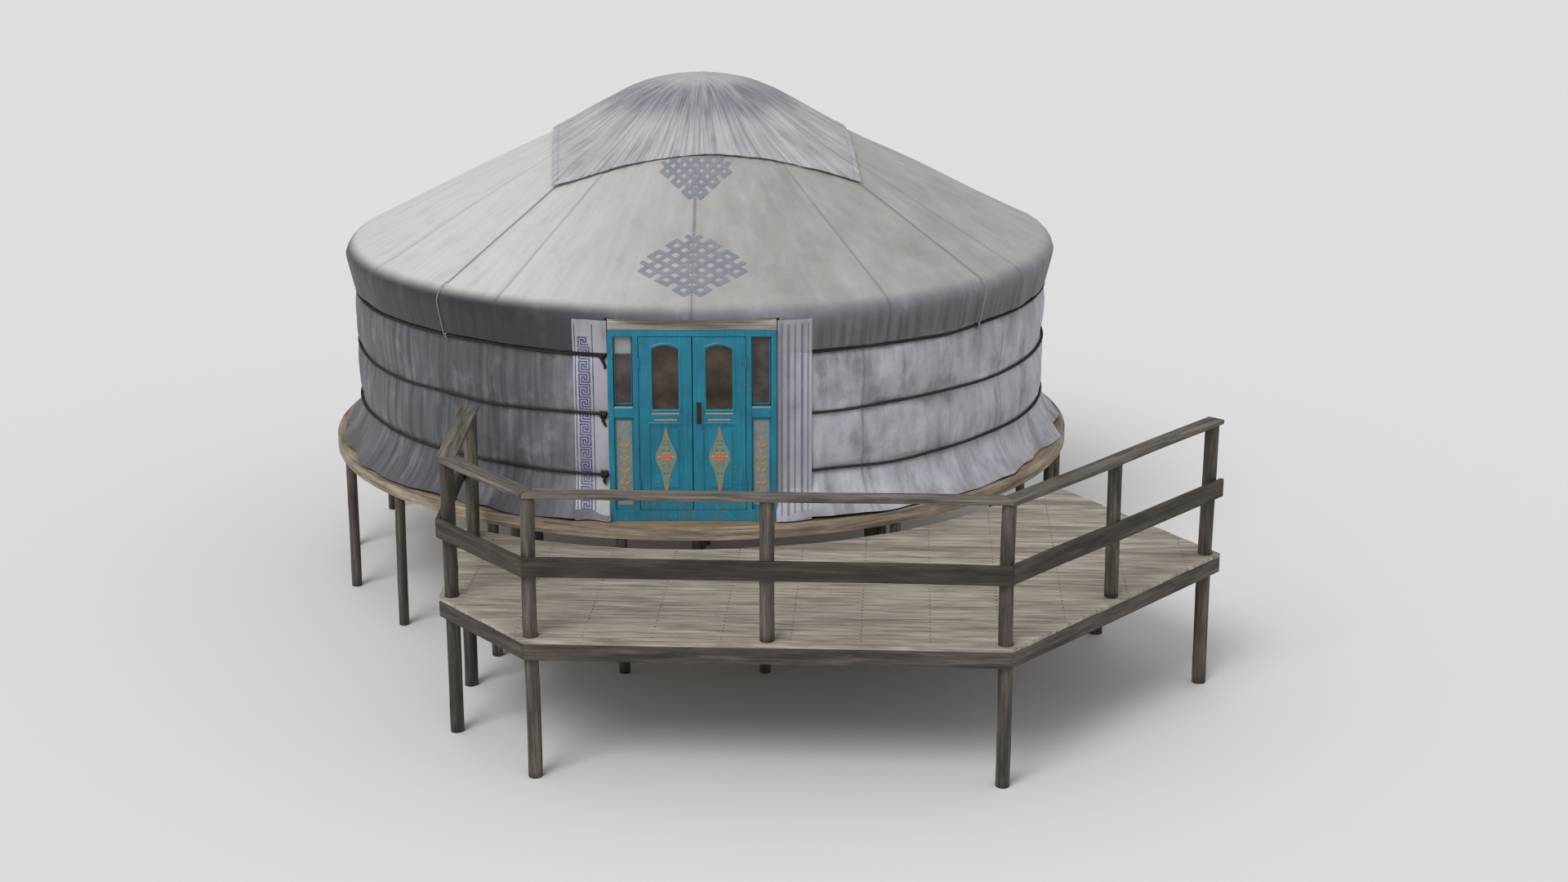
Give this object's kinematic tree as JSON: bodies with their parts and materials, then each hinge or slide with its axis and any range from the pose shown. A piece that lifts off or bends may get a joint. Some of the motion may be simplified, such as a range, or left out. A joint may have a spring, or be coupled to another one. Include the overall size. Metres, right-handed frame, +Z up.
{
  "type": "yurt on a timber platform with a deck",
  "caption": "Round felt and canvas tent with a lattice wall, roof poles and a double door, on a raised round platform with a railed timber deck before the door.",
  "frame": {"origin": "foot of the platform's middle post, at ground level under the middle of the yurt", "axes": "+Z up, the door faces -Y, +X to the right of someone who faces the door"},
  "size_m": [7.2038, 8.5371, 4.2382],
  "materials": {
    "canvas": "weathered canvas over felt",
    "rope": "dark twisted hair rope",
    "deck_timber": "weathered grey softwood",
    "frame_timber": "oiled orange-brown wood",
    "lintel_timber": "pale worn wood",
    "door_paint": "teal paint, slightly worn",
    "window_glass": "clear, dark room behind",
    "ironwork": "dark"
  },
  "bodies": {
    "yurt": {"platform_posts": "deck_timber", "platform_bearers": "deck_timber", "platform_joists": "deck_timber", "platform_rim": "deck_timber", "floor": "deck_timber", "deck_boards": "deck_timber", "deck_joists": "deck_timber", "deck_edge_boards": "deck_timber", "deck_ledger": "deck_timber", "deck_back_posts": "deck_timber", "corner_posts": "deck_timber", "rail_posts": "deck_timber", "top_rails": "deck_timber", "mid_rails": "deck_timber", "lattice_wall_1": "frame_timber", "lattice_wall_2": "frame_timber", "lattice_wall_3": "frame_timber", "lattice_wall_4": "frame_timber", "lattice_wall_5": "frame_timber", "wall_cover_1": "canvas", "wall_cover_2": "canvas", "wall_cover_3": "canvas", "wall_cover_4": "canvas", "wall_cover_5": "canvas", "girth_ropes": "rope", "roof_poles": "frame_timber", "crown_ring": "frame_timber", "crown_spokes": "frame_timber", "crown_columns": "frame_timber", "roof_gore_1": "canvas", "roof_gore_2": "canvas", "roof_gore_3": "canvas", "roof_gore_4": "canvas", "roof_gore_5": "canvas", "roof_gore_6": "canvas", "crown_cap": "canvas", "door_sill": "door_paint", "door_head": "door_paint", "door_lintel": "lintel_timber", "door_jambs": "door_paint", "door_mullions": "door_paint", "side_transoms": "door_paint", "side_panels": "door_paint", "side_glass": "window_glass", "frame_hinges": "ironwork"},
    "left_door_leaf": {"left_leaf": "door_paint", "left_leaf_glass": "window_glass", "left_leaf_hinges": "ironwork"},
    "right_door_leaf": {"right_leaf": "door_paint", "right_leaf_glass": "window_glass", "right_leaf_hinges": "ironwork", "door_handle": "ironwork"}
  },
  "joints": [
    {"name": "left_leaf_hinge", "type": "hinge", "parent": "yurt", "child": "left_door_leaf", "pos_m": [-0.4075, -2.999, 1.95], "axis": [0, 0, -1], "range_deg": [0, 100]},
    {"name": "right_leaf_hinge", "type": "hinge", "parent": "yurt", "child": "right_door_leaf", "pos_m": [0.4075, -2.999, 1.95], "axis": [0, 0, 1], "range_deg": [0, 100]}
  ]
}
